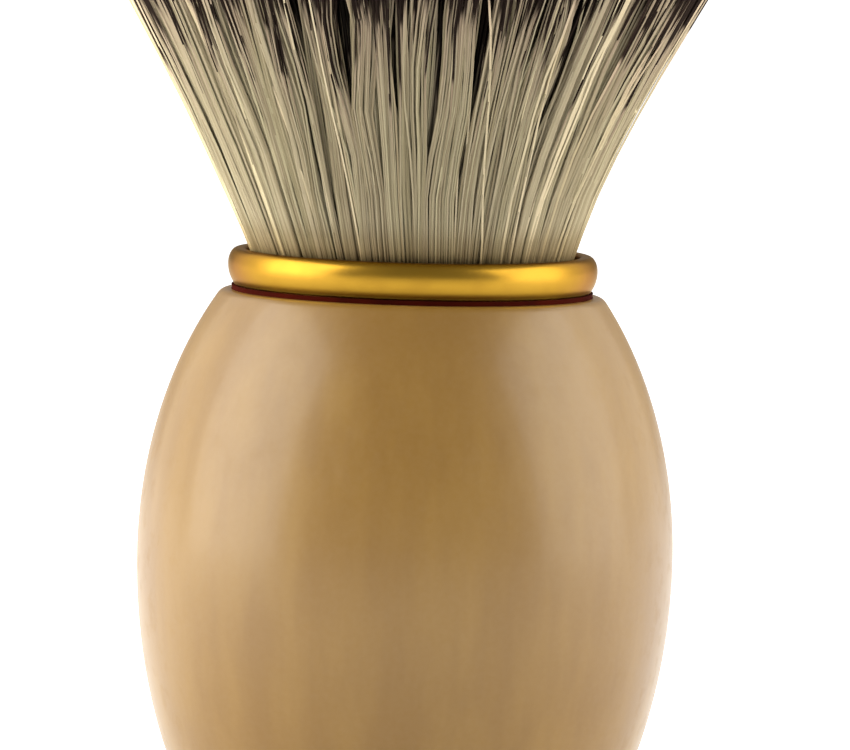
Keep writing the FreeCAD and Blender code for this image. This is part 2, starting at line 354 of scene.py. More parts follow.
@dataclass(frozen=True)
class HairFinish:
    """Banded hair: cream from the root, a dark band, and pale tips, with painted shade at the roots and
    on the deeper hairs.

    The colour depends only on the hair's own map: across it lie columns of slightly
    different hair, and up it the distance from the tip.
    """

    name: str = "banded_hair"
    columns: int = 128
    reach: float = 64.0
    cream: Colour = (0.410, 0.364, 0.235)
    straw: Colour = (0.278, 0.236, 0.136)
    fawn: Colour = (0.315, 0.232, 0.172)
    umber: Colour = (0.013, 0.007, 0.005)
    sheen: Colour = (0.90, 0.82, 0.70)
    tip: Colour = (0.72, 0.66, 0.55)
    # Painted shade: the hair is darkened towards the collar, standing in for the shade the ring casts on
    # the roots.
    root_painted_shade: Colour = (0.60, 0.50, 0.34)
    root_painted_shade_share: float = 0.30
    foot_height: float = 18.2
    foot_spread: float = 11.0
    # Deeper hairs get their dark band lower down: partly the hair's own band, partly painted shade in
    # the gaps between locks.
    under_foot_with_shade: float = 6.5
    guard_foot: float = 1.0
    foot_blur: float = 0.6
    foot_blur_spread: float = 1.6
    head_height: float = 7.0
    head_spread: float = 4.0
    head_blur: float = 3.0
    strength: float = 0.87
    strength_spread: float = 0.22
    # Painted shade: deeper hairs are darkened away from their tips, standing in for shadow in the cracks
    # between locks.
    under_painted_shade: float = 0.62
    under_painted_shade_start: float = 3.0
    under_painted_shade_end: float = 11.0
    guard_gain: float = 0.62

    def make(self) -> bpy.types.Material:
        """Build the material."""
        shader = Shader(self.name)
        spot = shader.node("ShaderNodeUVMap", {"uv_map": HAIR_MAP})
        across = shader.node("ShaderNodeSeparateXYZ", {}, {0: spot}, "X")
        up = across.also("Y")
        from_tip = self.reach * (1.0 - up)
        column = (across * float(self.columns)).math("FLOOR")
        guard = across.step(HairKind.GUARD.start)
        under = across.step(HairKind.UNDER.start) * (1.0 - guard)
        first = HairKind.UNDER.start * under + HairKind.GUARD.start * guard
        whole = HairKind.SURFACE.width
        span = whole - (whole - HairKind.UNDER.width) * under - (whole - HairKind.GUARD.width) * guard
        low = (column / float(self.columns) - first) / span
        tone = shader.chance(column, 0.37)
        hue = shader.chance(column, 51.13)
        band_foot = self.foot_height + self.foot_spread * low
        # The lower band on deeper hairs is partly painted shade between locks.
        band_foot = band_foot + self.under_foot_with_shade * under - self.guard_foot * guard
        band_head = self.head_height + self.head_spread * hue
        foot_blur = self.foot_blur + self.foot_blur_spread * tone
        band = 1.0 - from_tip.ease(band_foot, band_foot + foot_blur)
        band = band * from_tip.ease(band_head, band_head + self.head_blur)
        root = shader.mix(tone, self.straw, self.cream)
        root = shader.mix(0.3 * hue, root, self.fawn)
        fading = 1.0 - from_tip.ease(band_foot - 1.0, band_foot + foot_blur + 6.0)
        body = shader.mix(0.7 * fading, root, self.fawn)
        colour = shader.mix(1.0 - from_tip.ease(band_head, band_head + 4.0), body, self.tip)
        colour = shader.mix(band, colour, self.umber)
        # Painted shade on the deeper hairs, for the shadow between locks.
        sunk_painted_shade = under * from_tip.ease(self.under_painted_shade_start, self.under_painted_shade_end)
        strength = self.strength + self.strength_spread * tone
        strength = strength - self.under_painted_shade * sunk_painted_shade + self.guard_gain * guard
        colour = shader.mix(1.0, colour, shader.grey(strength), "MULTIPLY")
        # Painted shade over the lowest share of the map, at the roots by the collar.
        shaded = shader.mix(up.ease(0.0, self.root_painted_shade_share), self.root_painted_shade, (1.0, 1.0, 1.0))
        colour = shader.mix(1.0, colour, shaded, "MULTIPLY")
        return shader.surface(
            Base_Color=colour,
            Roughness=0.58,
            Specular_IOR_Level=0.10,
            Specular_Tint=self.sheen,
        )


@dataclass(frozen=True)
class PlainFinish:
    """Moulded, cast or rubbery stuff: one colour that wanders a little, with a fine grain."""

    name: str
    light: Colour
    dark: Colour
    roughness: float = 0.5
    metallic: float = 0.0
    coat: float = 0.0
    grain: float = 1.6
    relief: float = 0.02
    squash: float = 1.0
    gloss: float = 0.5

    def make(self) -> bpy.types.Material:
        """Build the material."""
        shader = Shader(self.name)
        place = shader.stretch(shader.place(), (1.0, 1.0, self.squash))
        grain = shader.noise(place, self.grain, 4.0)
        clouds = shader.noise(place, 0.25, 2.0)
        return shader.surface(
            Base_Color=shader.mix(clouds.ease(0.3, 0.7), self.dark, self.light),
            Metallic=self.metallic,
            Roughness=self.roughness + 0.12 * (grain - 0.5),
            Coat_Weight=self.coat,
            Specular_IOR_Level=self.gloss,
            Normal=shader.bump(grain, self.relief),
        )


@dataclass(frozen=True)
class TwistFinish:
    """Twisted thread: slanting grooves between its strands, darkened with painted shade."""

    name: str = "twisted_linen"
    light: Colour = (0.62, 0.53, 0.38)
    dark: Colour = (0.25, 0.19, 0.12)
    twists: float = 90.0
    slant: float = 9.0

    def make(self) -> bpy.types.Material:
        """Build the material."""
        shader = Shader(self.name)
        place = shader.place()
        parts = shader.node("ShaderNodeSeparateXYZ", {}, {0: place}, "X")
        angle = parts.also("Y").math("ARCTAN2", parts)
        phase = self.twists * angle + self.slant * parts.also("Z")
        # Painted shade: the colour darkens into the grooves between strands, on the same wave that gives
        # the bump.
        ridge_and_groove_shade = 0.5 + 0.5 * phase.math("SINE")
        return shader.surface(
            Base_Color=shader.mix(ridge_and_groove_shade, self.dark, self.light),
            Roughness=0.8,
            Normal=shader.bump(ridge_and_groove_shade, 0.05),
        )


# ---------------------------------------------------------------- turned pieces
class Outline:
    """Half section of a turned piece: points in radius and height, in millimetres."""

    def __init__(self, radius: float, height: float) -> None:
        """Put the pen down at a point."""
        self.points: list[Point] = [(radius, height)]

    def line(self, radius: float, height: float) -> "Outline":
        """Straight run to a point."""
        self.points.append((radius, height))
        return self

    def curve(self, *poles: Point, steps: int = 24) -> "Outline":
        """Bezier run.

        Args:
            poles: the curve's poles after the pen's place; the last is its end.
            steps: how many points it adds.

        Returns:
            This outline.
        """
        self.points.extend(bezier((self.points[-1], *poles), steps)[1:])
        return self

    def oval(
        self, middle: float, size: Point, start: float, end: float, steps: int = 40
    ) -> "Outline":
        """Run along an upright ellipse centred on the axis.

        Args:
            middle: height of its centre.
            size: its half width and half height.
            start: height where the run starts, from the centre.
            end: height where it ends, from the centre.
            steps: how many points it adds.

        Returns:
            This outline.
        """
        wide, tall = size
        turns = np.linspace(math.asin(start / tall), math.asin(end / tall), steps + 1)[1:]
        self.points.extend((wide * math.cos(a), middle + tall * math.sin(a)) for a in turns)
        return self


def bezier(poles: Sequence[Point], steps: int) -> list[Point]:
    """Points along a Bezier curve of any degree.

    Args:
        poles: its poles, with its two ends.
        steps: how many runs it is cut into.

    Returns:
        The points, with both ends.
    """
    share = np.linspace(0.0, 1.0, steps + 1)[:, None]
    layer = [np.asarray(pole, float)[None, :] for pole in poles]
    while len(layer) > 1:
        layer = [(1 - share) * a + share * b for a, b in zip(layer, layer[1:], strict=False)]
    return [(float(radius), float(height)) for radius, height in layer[0]]


def oval_height(wide: float, edge: float, rise: float) -> float:
    """Half height of an ellipse of half width wide that narrows to edge after rise."""
    return rise / math.sqrt(1 - (edge / wide) ** 2)


def add_object(name: str, mesh: bpy.types.Mesh, material: bpy.types.Material) -> bpy.types.Object:
    """Put a mesh in the scene as an object with one material.

    Args:
        name: the object's name.
        mesh: its mesh.
        material: its finish.

    Returns:
        The object.
    """
    mesh.materials.append(material)
    made = bpy.data.objects.new(name, mesh)
    bpy.context.scene.collection.objects.link(made)
    return made


def turned(
    name: str, outline: Outline, material: bpy.types.Material, around: int = 224
) -> bpy.types.Object:
    """Spin an outline about Z into a closed mesh.

    Args:
        name: the object's name.
        outline: half section; one that starts and ends on the axis gets a pole at each end.
        material: its finish.
        around: faces round the axis.

    Returns:
        The object.
    """
    form = bmesh.new()
    rows = []
    for radius, height in outline.points:
        count = around if radius > 0 else 1
        angles = np.arange(count) * (2 * math.pi / count)
        spots = [(radius * math.cos(a) * MM, radius * math.sin(a) * MM, height * MM) for a in angles]
        rows.append([form.verts.new(spot) for spot in spots])
    closed = len(rows[0]) > 1
    pairs = zip(rows, rows[1:] + rows[:1]) if closed else zip(rows, rows[1:])
    for low, high in pairs:
        for number in range(around):
            after = (number + 1) % around
            if len(low) == 1:
                corners = (low[0], high[after], high[number])
            elif len(high) == 1:
                corners = (low[number], low[after], high[0])
            else:
                corners = (low[number], low[after], high[after], high[number])
            form.faces.new(corners)
    bmesh.ops.recalc_face_normals(form, faces=form.faces)
    mesh = bpy.data.meshes.new(name)
    form.to_mesh(mesh)
    form.free()
    mesh.shade_smooth()
    mesh.set_sharp_from_angle(angle=math.radians(38))
    return add_object(name, mesh, material)


def stand_in(
    piece: bpy.types.Object, slot: str, *nodes: str, note: str = ""
) -> bpy.types.Object:
    """Make a piece ride on the brush in place of frame nodes.

    Args:
        piece: the new piece.
        slot: the record's material slot; not used.
        nodes: the nodes that it stands for.
        note: what to say of it in the log.

    Returns:
        The piece.
    """
    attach(piece, BODY)
    if nodes:
        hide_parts(*nodes)
    faces = len(piece.data.polygons)
    LOG.info("%s: %d faces%s", piece.name, faces, f", {note}" if note else "")
    return piece


def heights(node: str) -> Point:
    """Lowest and highest point of a frame node, in millimetres."""
    low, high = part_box(node)
    return low.z / MM, high.z / MM


def radius_of(node: str) -> float:
    """Largest radius of a frame node about the axis, in millimetres."""
    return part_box(node)[1].x / MM


@dataclass
class Handle:
    """Handle with a round belly, a waist and a flared foot, bored from both ends."""

    neck_top: float = field(default_factory=lambda: heights("handle_body")[1])
    rim_bottom: float = field(default_factory=lambda: heights("handle_body")[0])
    belly_radius: float = field(default_factory=lambda: radius_of("handle_body"))
    belly_drop: float = 17.5
    neck_radius: float = 12.6
    land_radius: float = 12.2
    taper_height: float = 19.0
    taper_radius: float = 15.45
    waist_height: float = 8.8
    waist_radius: float = 12.2
    foot_radius: float = 14.6
    foot_rim_height: float = 2.4
    foot_edge_round: float = 1.1
    shoulder_round: float = 0.35
    socket_radius: float = 10.95
    socket_floor: float = 33.75
    counterbore_radius: float = 11.73
    counterbore_floor: float = 47.8
    ballast_bore_radius: float = 9.0
    ballast_bore_top: float = 16.85
    recess_radius: float = 11.05
    recess_top: float = 2.4
    recess_round: float = 0.3
    finish: ResinFinish = field(default_factory=ResinFinish)

    def outline(self) -> Outline:
        """Half section from the top of the ballast bore, round outside, to the socket."""
        belly = self.neck_top - self.belly_drop
        drop = belly - self.taper_height
        upper = oval_height(self.belly_radius, self.neck_radius, self.belly_drop)
        lower = oval_height(self.belly_radius, self.taper_radius, drop)
        slope = (self.belly_radius / lower) ** 2 * drop / self.taper_radius
        rise = self.taper_height - self.waist_height
        foot_rise = self.waist_height - self.foot_rim_height
        outline = Outline(0.0, self.ballast_bore_top)
        outline.line(self.ballast_bore_radius, self.ballast_bore_top)
        outline.line(self.ballast_bore_radius, self.recess_top)
        outline.line(self.recess_radius, self.recess_top)
        outline.line(self.recess_radius, self.rim_bottom + self.recess_round)
        outline.curve(
            (self.recess_radius, self.rim_bottom),
            (self.recess_radius + self.recess_round, self.rim_bottom),
            steps=6,
        )
        outline.line(self.foot_radius - self.foot_edge_round, self.rim_bottom)
        outline.curve(
            (self.foot_radius - 0.45 * self.foot_edge_round, self.rim_bottom),
            (self.foot_radius, self.rim_bottom + 0.45 * self.foot_edge_round),
            (self.foot_radius, self.rim_bottom + self.foot_edge_round),
            steps=14,
        )
        outline.line(self.foot_radius, self.foot_rim_height)
        outline.curve(
            (self.foot_radius, self.foot_rim_height + 0.42 * foot_rise),
            (self.waist_radius, self.waist_height - 0.42 * foot_rise),
            (self.waist_radius, self.waist_height),
            steps=30,
        )
        outline.curve(
            (self.waist_radius, self.waist_height + 0.3 * rise),
            (self.taper_radius - 0.45 * slope * rise, self.taper_height - 0.45 * rise),
            (self.taper_radius, self.taper_height),
            steps=30,
        )
        outline.oval(belly, (self.belly_radius, lower), -drop, 0.0)
        shoulder = self.belly_drop - self.shoulder_round
        outline.oval(belly, (self.belly_radius, upper), 0.0, shoulder, steps=48)
        outline.curve((self.neck_radius, self.neck_top), (self.land_radius, self.neck_top), steps=8)
        outline.line(self.counterbore_radius, self.neck_top)
        outline.line(self.counterbore_radius, self.counterbore_floor)
        outline.line(self.socket_radius, self.counterbore_floor)
        outline.line(self.socket_radius, self.socket_floor)
        outline.line(0.0, self.socket_floor)
        return outline

    def build(self) -> None:
        """Build and dress the handle."""
        body = turned("handle", self.outline(), self.finish.make())
        stand_in(body, "handle_resin", "handle_body", note="bored for knot and ballast")


@dataclass
class Collar:
    """Gold bead with its spigot, and under it a sealing line whose near-black colour is painted shade of
    the crevice under the ring.
    """

    bead_top: float = field(default_factory=lambda: heights("collar_ring")[1])
    spigot_bottom: float = field(default_factory=lambda: heights("collar_ring")[0])
    bead_radius: float = field(default_factory=lambda: radius_of("collar_ring"))
    seal_bottom: float = field(default_factory=lambda: heights("collar_seal")[0])
    seal_top: float = field(default_factory=lambda: heights("collar_seal")[1])
    seal_radius: float = field(default_factory=lambda: radius_of("collar_seal"))
    bore_radius: float = 11.0
    spigot_radius: float = 11.65
    seal_bore: float = 11.73
    crown_height: float = 1.0
    crown_width: float = 0.6
    tuck: float = 0.4
    edge_round: float = 0.15
    mouth_round: float = 0.25
    finish: AnodisedFinish = field(default_factory=AnodisedFinish)
    # Painted shade: the sealing line's near-black red stands in for the shade in the crevice under the
    # ring.
    seal_painted_shade: PlainFinish = PlainFinish(
        "sealing_compound", (0.050, 0.004, 0.001), (0.024, 0.002, 0.001), 0.9, gloss=0.03
    )

    def bead(self) -> Outline:
        """Half section of the ring."""
        widest = self.bead_top - self.crown_height
        foot = self.bead_radius - self.tuck
        outline = Outline(self.bore_radius, self.spigot_bottom)
        outline.line(self.spigot_radius - 0.2, self.spigot_bottom)
        outline.line(self.spigot_radius, self.spigot_bottom + 0.2)
        outline.line(self.spigot_radius, self.seal_top)
        outline.line(foot - self.edge_round, self.seal_top)
        outline.curve(
            (foot, self.seal_top), (foot + 0.03, self.seal_top + self.edge_round), steps=6
        )
        half_lower = (widest - self.seal_top) / 2
        outline.curve(
            (self.bead_radius, self.seal_top + half_lower), (self.bead_radius, widest), steps=18
        )
        outline.curve(
            (self.bead_radius, widest + 0.55 * self.crown_height),
            (self.bead_radius - 0.45 * self.crown_width, self.bead_top),
            (self.bead_radius - self.crown_width, self.bead_top),
            steps=20,
        )
        outline.line(self.bore_radius + self.mouth_round, self.bead_top)
        outline.curve(
            (self.bore_radius, self.bead_top),
            (self.bore_radius, self.bead_top - self.mouth_round),
            steps=8,
        )
        return outline

    def seal(self) -> Outline:
        """Half section of the sealing line, a little hollow where it was wiped."""
        middle = (self.seal_bottom + self.seal_top) / 2
        outline = Outline(self.seal_bore, self.seal_bottom)
        outline.line(self.seal_radius, self.seal_bottom)
        outline.curve((self.seal_radius - 0.08, middle), (self.seal_radius, self.seal_top), steps=8)
        outline.line(self.seal_bore, self.seal_top)
        return outline

    def build(self) -> None:
        """Build and dress the ring and the sealing line."""
        ring = turned("collar_bead", self.bead(), self.finish.make())
        stand_in(ring, "collar_metal", "collar_ring")
        # The sealing line carries the painted shade of the crevice under the ring.
        line = turned("sealing_line", self.seal(), self.seal_painted_shade.make())
        stand_in(line, "sealing_compound", "collar_seal")


# ---------------------------------------------------------------- knot
@dataclass(frozen=True)
class Shell:
    """One layer of hairs in the knot.

    Its depth is its place between the axis at 0 and the outside at 1, and its spread is how
    thick it is on that scale. Only the top share, visible, of each hair is drawn. Gathering
    pulls the hairs of a lock together, lean tips locks sideways, lift raises them, stray and
    loners are shares of hairs that lie apart or differ in colour, and rounding curves a lock.
    """

    name: str
    kind: HairKind
    depth: float
    spread: float
    hairs: int
    locks: int
    segments: int
    visible: float = 1.0
    gathering: float = 0.30
    lean: float = 0.050
    lift: float = 0.30
    stray: float = 0.03
    thickness: float = 0.135
    loners: float = 0.40
    rounding: float = 0.85


@dataclass
class Knot:
    """Several thousand hairs set in the collar, flared and domed."""

    root: float = field(default_factory=lambda: heights("hair_bundle")[0])
    top: float = field(default_factory=lambda: heights("hair_bundle")[1])
    bloom_radius: float = field(default_factory=lambda: radius_of("hair_bundle"))
    mouth: float = field(default_factory=lambda: heights("collar_ring")[1])
    mouth_radius: float = 10.8
    root_radius: float = 8.9
    binding_top: float = 47.6
    bloom_drop: float = 14.0
    flare_start: float = 0.47
    flare_end: float = 0.40
    dome_side: float = 0.6
    dome_crown: float = 0.5
    late_spread: float = 0.05
    start: float = 48.6
    slouch: float = 0.42
    slouch_rise: float = 2.5
    # Height above the collar's mouth over which the painted root shade fades out.
    shaded: float = 3.6
    roundness: float = 0.42
    drifts: tuple[int, ...] = (3, 7, 12, 19, 31)
    lock_variety: float = 0.55
    tip_scatter: float = 0.9
    gather_range: Point = (0.2, 1.8)
    gather_limit: float = 0.8
    gather_speeds: tuple[float, ...] = (1.8, 2.4, 2.4, 3.2, 7.0)
    hair_lean: float = 0.016
    stray_lean: float = 0.12
    stray_lift: float = 0.35
    hair_waves: Point = (14.0, 34.0)
    hair_sway: Point = (0.03, 0.20)
    hair_swell: Point = (0.01, 0.07)
    lock_waves: Point = (9.0, 22.0)
    lock_bend: float = 0.16
    hair_widths: Point = (0.72, 1.25)
    tip_taper: float = 9.0
    tip_share: float = 0.22
    crown_turn: float = 1.6
    seed: int = 2207
    sides: int = 3
    finish: HairFinish = field(default_factory=HairFinish)
    # Painted shade: the core is coloured near black, standing in for the shade deep in the knot.
    mass: PlainFinish = PlainFinish(
        "hair_mass_painted_shade", (0.060, 0.042, 0.028), (0.020, 0.013, 0.010), roughness=0.8, squash=0.05
    )

    def __post_init__(self) -> None:
        """Work out the outer form as tables of radius against height."""
        self.bloom = self.top - self.bloom_drop
        rise = self.bloom - self.mouth
        slope = (self.mouth_radius - self.root_radius) / (self.mouth - self.binding_top)
        flare = bezier(
            (
                (self.mouth_radius, self.mouth),
                (
                    self.mouth_radius + slope * self.flare_start * rise,
                    self.mouth + self.flare_start * rise,
                ),
                (self.bloom_radius, self.bloom - self.flare_end * rise),
                (self.bloom_radius, self.bloom),
            ),
            120,
        )
        dome = bezier(
            (
                (self.bloom_radius, self.bloom),
                (self.bloom_radius, self.bloom + self.dome_side * self.bloom_drop),
                (self.dome_crown * self.bloom_radius, self.top),
                (0.0, self.top),
            ),
            120,
        )
        above = self.bloom_radius + self.late_spread * self.bloom_drop
        side = [(self.root_radius, self.binding_top), *flare, (above, self.top)]
        self.side = np.array(side)
        self.dome = np.array(dome)

    def side_radius(self, height: np.ndarray) -> np.ndarray:
        """Radius of the outermost hairs at a height."""
        return np.interp(height, self.side[:, 1], self.side[:, 0])

    def tip_height(self, depth: np.ndarray) -> np.ndarray:
        """Height at which a hair at some depth reaches the dome."""
        share = self.dome[:, 0] / self.side_radius(self.dome[:, 1])
        return np.interp(depth, share[::-1], self.dome[::-1, 1])

    def hairs(self, shell: Shell, chance: np.random.Generator) -> dict[str, np.ndarray]:
        """Run every hair of a shell from root to tip.

        Args:
            shell: the layer.
            chance: source of the random draws.

        Returns:
            The middle line of each hair, its half thickness, its column on the map, how
            far up the map it runs, how far its lock turns its shading sideways, and how
            far the dome turns it upwards.
        """
        widths = chance.lognormal(0.0, self.lock_variety, shell.locks)
        edges = np.concatenate([[0.0], np.cumsum(widths)]) / widths.sum() * 2 * math.pi
        turn = np.sort(chance.random(shell.hairs)) * 2 * math.pi
        lock = np.searchsorted(edges, turn, side="right") - 1
        middle = (edges[lock] + edges[lock + 1]) / 2
        width = edges[lock + 1] - edges[lock]
        across = (turn - middle) / width

        inner, outer = shell.depth - shell.spread / 2, shell.depth + shell.spread / 2
        depth = np.sqrt(chance.uniform(inner**2, outer**2, shell.hairs))
        tip = self.tip_height(np.clip(depth, 0.0, 0.999))
        tip = tip - np.abs(chance.normal(0.0, self.tip_scatter, shell.hairs))
        first = tip - (tip - self.start) * shell.visible
        step = np.linspace(0.0, 1.0, shell.segments + 1)[None, :]
        height = first[:, None] + (tip - first)[:, None] * step
        rise = np.clip((height - self.mouth) / (self.bloom - self.mouth), 0.0, 1.3)

        stray = chance.random(shell.hairs) < shell.stray
        gather = shell.gathering * chance.uniform(*self.gather_range, shell.locks)[lock][:, None]
        early = chance.choice(self.gather_speeds, shell.locks)[lock][:, None]
        gather = np.clip(gather, 0.0, self.gather_limit) * (1 - np.exp(-early * rise))
        lean = chance.normal(0.0, shell.lean, shell.locks)[lock]
        lean = lean + chance.normal(0.0, self.hair_lean, shell.hairs)
        lean = lean + np.where(stray, chance.normal(0.0, self.stray_lean, shell.hairs), 0.0)
        angle = middle[:, None] + (across * width)[:, None] * (1 - gather)
        angle = angle + lean[:, None] * rise**1.15

        climb = 6 * height
        wave = chance.uniform(0.0, 2 * math.pi, (2, shell.hairs))[:, :, None]
        length = chance.uniform(*self.hair_waves, shell.hairs)[:, None]
        sway = chance.uniform(*self.hair_sway, shell.hairs)[:, None] * np.sin(climb / length + wave[0])
        bend = chance.normal(0.0, self.lock_bend, shell.locks)[lock][:, None]
        bow = chance.uniform(*self.lock_waves, shell.locks)[lock][:, None]
        shift = chance.uniform(0.0, 2 * math.pi, shell.locks)[lock][:, None]
        sway = sway + bend * np.sin(climb / bow + shift)
        swell = chance.uniform(*self.hair_swell, shell.hairs)[:, None] * np.sin(climb / length + wave[1])

        lift = chance.normal(0.0, shell.lift, shell.locks)[lock]
        lift = lift - 1.6 * shell.lift * (2 * across) ** 2
        lift = lift + np.where(stray, np.abs(chance.normal(0.0, self.stray_lift, shell.hairs)), 0.0)
        radius = depth[:, None] * self.side_radius(height)
        radius = radius + lift[:, None] * np.clip(rise, 0.0, 1.0) ** 0.8 + swell * rise
        angle = angle + sway / np.maximum(radius, 3.0) * np.clip(rise * 4, 0, 1)
        above = np.maximum(height - self.mouth, 0.0)
        slouch = self.slouch * (1.0 - np.exp(-above / self.slouch_rise))
        line = np.stack(
            [radius * np.cos(angle) - slouch, radius * np.sin(angle), height], axis=-1
        )

        half = shell.thickness / 2 * chance.uniform(*self.hair_widths, shell.hairs)[:, None]
        taper = np.clip((tip[:, None] - height) / self.tip_taper, 0.0, 1.0)
        half = half * (self.tip_share + (1 - self.tip_share) * taper**0.7)

        count = self.finish.columns
        low, high = round(shell.kind.start * count), round(shell.kind.end * count)
        drift = sum(
            np.cos(waves * middle + chance.uniform(0.0, 2 * math.pi)) / waves**0.4
            for waves in self.drifts
        )
        share = 0.42 + 0.16 * drift + chance.normal(0.0, 0.17, shell.locks)[lock]
        loner = chance.random(shell.hairs) < shell.loners
        share = np.where(loner, chance.normal(0.45, 0.28, shell.hairs), share)
        column = low + np.floor(np.clip(share, 0.0, 0.999) * (high - low))
        column = column + chance.choice((-1, 0, 0, 0, 1), shell.hairs)
        column = np.clip(column, low, high - 1)
        from_tip = (tip[:, None] - height) * np.sqrt(1 + (0.45 * depth[:, None]) ** 2)
        # The map is pinned low at the collar's mouth so that the painted root shade falls there.
        up = (1.0 - from_tip / self.finish.reach) * np.clip(above / self.shaded, 0.0, 1.0)
        tilt = 2 * across[:, None] * shell.rounding * np.clip(2.5 * rise, 0.2, 1.0)
        crown = np.clip(1.0 - depth, 0.0, 1.0)[:, None] * np.clip(rise, 0.0, 1.0)
        made = (line, half, column, up, tilt, crown)
        return dict(zip(("line", "half", "column", "up", "tilt", "crown"), made, strict=True))

    def tubes(self, name: str, hairs: Mapping[str, np.ndarray]) -> bpy.types.Mesh:
        """Turn hair lines into thin closed tubes.

        Args:
            name: the mesh's name.
            hairs: what the hairs method gives.

        Returns:
            The mesh, with the hair's map.
        """
        line, half = hairs["line"], hairs["half"]
        count, rings = line.shape[:2]
        along = np.gradient(line, axis=1)
        along /= np.linalg.norm(along, axis=2, keepdims=True)
        outward = line * (1.0, 1.0, 0.0)
        outward -= along * np.sum(outward * along, axis=2, keepdims=True)
        outward /= np.linalg.norm(outward, axis=2, keepdims=True)
        sideways = np.cross(along, outward)
        turns = np.arange(self.sides) * (2 * math.pi / self.sides)
        spots = line[:, :, None, :] + half[:, :, None, None] * (
            np.cos(turns)[None, None, :, None] * outward[:, :, None, :]
            + np.sin(turns)[None, None, :, None] * sideways[:, :, None, :]
        )

        tilt = hairs["tilt"][:, :, None]
        facing = np.cos(tilt) * outward + np.sin(tilt) * sideways
        facing[:, :, 2] += self.crown_turn * hairs["crown"]
        own = (spots - line[:, :, None, :]) / half[:, :, None, None]
        normals = self.roundness * own + (1 - self.roundness) * facing[:, :, None, :]

        index = np.arange(count * rings * self.sides).reshape(count, rings, self.sides)
        low, high = index[:, :-1, :], index[:, 1:, :]
        quads = np.stack([low, np.roll(low, -1, 2), np.roll(high, -1, 2), high], axis=-1)
        caps = np.stack([index[:, 0, ::-1], index[:, -1, :]], axis=1)

        columns = self.finish.columns
        edge = (np.arange(self.sides + 1) / self.sides - 0.5) * 0.5 / columns
        across = (hairs["column"][:, None] + 0.5) / columns + edge[None, :]
        up = hairs["up"]
        shape = (count, rings - 1, self.sides)
        u_left = np.broadcast_to(across[:, None, :-1], shape)
        u_right = np.broadcast_to(across[:, None, 1:], shape)
        v_low = np.broadcast_to(up[:, :-1, None], shape)
        v_high = np.broadcast_to(up[:, 1:, None], shape)
        quad_map = np.stack(
            [
                np.stack([u_left, v_low], -1),
                np.stack([u_right, v_low], -1),
                np.stack([u_right, v_high], -1),
                np.stack([u_left, v_high], -1),
            ],
            axis=-2,
        )
        cap_u = np.stack([across[:, 0], across[:, 1], across[:, -1]], axis=-1)
        cap_v = np.stack([up[:, 0], up[:, -1]], axis=-1)[:, :, None] + (0.0, 0.002, 0.0)
        cap_map = np.stack([np.broadcast_to(cap_u[:, None, :], cap_v.shape), cap_v], axis=-1)

        mesh = bpy.data.meshes.new(name)
        faces = quads.size // 4 + count * 2
        corners = quads.size + caps.size
        mesh.vertices.add(index.size)
        mesh.vertices.foreach_set("co", (spots * MM).ravel())
        mesh.loops.add(corners)
        mesh.loops.foreach_set("vertex_index", np.concatenate([quads.ravel(), caps.ravel()]))
        sizes = np.concatenate([np.full(quads.size // 4, 4), np.full(count * 2, self.sides)])
        mesh.polygons.add(faces)
        mesh.polygons.foreach_set("loop_start", np.concatenate([[0], np.cumsum(sizes)[:-1]]))
        mesh.polygons.foreach_set("use_smooth", np.ones(faces, bool))
        layer = mesh.uv_layers.new(name=HAIR_MAP)
        layer.data.foreach_set("uv", np.concatenate([quad_map.ravel(), cap_map.ravel()]))
        mesh.update(calc_edges=True)
        normals /= np.linalg.norm(normals, axis=-1, keepdims=True)
        mesh.normals_split_custom_set_from_vertices(normals.reshape(-1, 3))
        return mesh

    def core(self) -> Outline:
        """Mass of hair behind the layers, well inside the outer form, coloured near black as painted
        shade.
        """
        deep = 0.74
        crown = self.top - 9.0
        outline = Outline(0.0, self.root)
        outline.line(self.root_radius - 0.1, self.root)
        outline.line(self.root_radius - 0.1, self.binding_top)
        for height in np.linspace(self.binding_top + 1.0, self.bloom - 4.0, 40):
            outline.line(deep * float(self.side_radius(height)), float(height))
        edge = outline.points[-1][0]
        outline.curve((edge, crown - 2.0), (edge * 0.6, crown), (0.0, crown), steps=24)
        return outline

    def build(self, shells: Sequence[Shell]) -> None:
        """Build and dress the knot.

        Args:
            shells: its layers.
        """
        chance = np.random.default_rng(self.seed)
        material = self.finish.make()
        first = True
        for shell in shells:
            mesh = self.tubes(shell.name, self.hairs(shell, chance))
            piece = add_object(shell.name, mesh, material)
            nodes = ("hair_bundle",) if first else ()
            stand_in(piece, "hair", *nodes, note=f"{shell.hairs} hairs")
            first = False
        core = turned("hair_core", self.core(), self.mass.make(), around=96)
        stand_in(core, "hair")


SHELLS = (
    Shell(
        "surface_hair", HairKind.SURFACE, 0.978, 0.026, 1600, 84, 15, gathering=0.56, loners=0.55
    ),
    Shell("second_hair", HairKind.SURFACE, 0.942, 0.036, 1300, 90, 14, gathering=0.52),
    Shell("third_hair", HairKind.UNDER, 0.895, 0.050, 1200, 90, 12, gathering=0.45),
    Shell("fourth_hair", HairKind.UNDER, 0.840, 0.060, 1000, 80, 10),
    Shell(
        "guard_hair", HairKind.GUARD, 0.984, 0.022, 60, 60, 15, lean=0.12, stray=0.3, thickness=0.15
    ),
    Shell("middle_hair", HairKind.SURFACE, 0.70, 0.28, 5000, 600, 6, visible=0.5, thickness=0.18),
    Shell("heart_hair", HairKind.SURFACE, 0.29, 0.56, 4200, 600, 6, visible=0.45, thickness=0.20),
)


